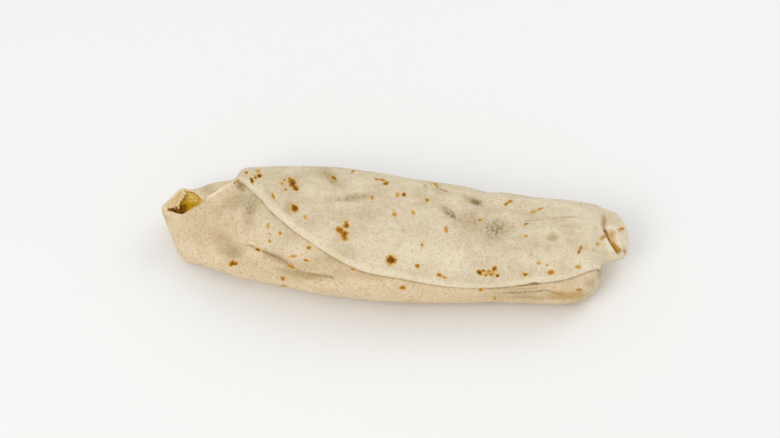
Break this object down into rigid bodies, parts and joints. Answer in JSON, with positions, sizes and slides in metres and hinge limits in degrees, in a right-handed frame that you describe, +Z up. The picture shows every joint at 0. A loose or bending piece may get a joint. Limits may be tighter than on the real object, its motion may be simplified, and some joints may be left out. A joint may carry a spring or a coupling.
{
  "type": "burrito",
  "caption": "Closed breakfast burrito: a wheat tortilla folded flat over scrambled egg and sausage, tucked in at both ends, with a small open mouth at the left end.",
  "frame": {"origin": "middle of the bounding box across and along, at the surface that the roll lies on", "axes": "+X along the roll, from the open mouth to the tucked end; -Y towards the front, where the sheet's free edge shows; +Z up"},
  "size_m": [0.1642, 0.0506, 0.0292],
  "materials": {
    "tortilla": "soft, floury and matte, with brown toast marks",
    "filling": "moist egg curds with bits of sausage"
  },
  "bodies": {
    "root": {"tortilla": "tortilla", "filling": "filling"}
  },
  "joints": []
}
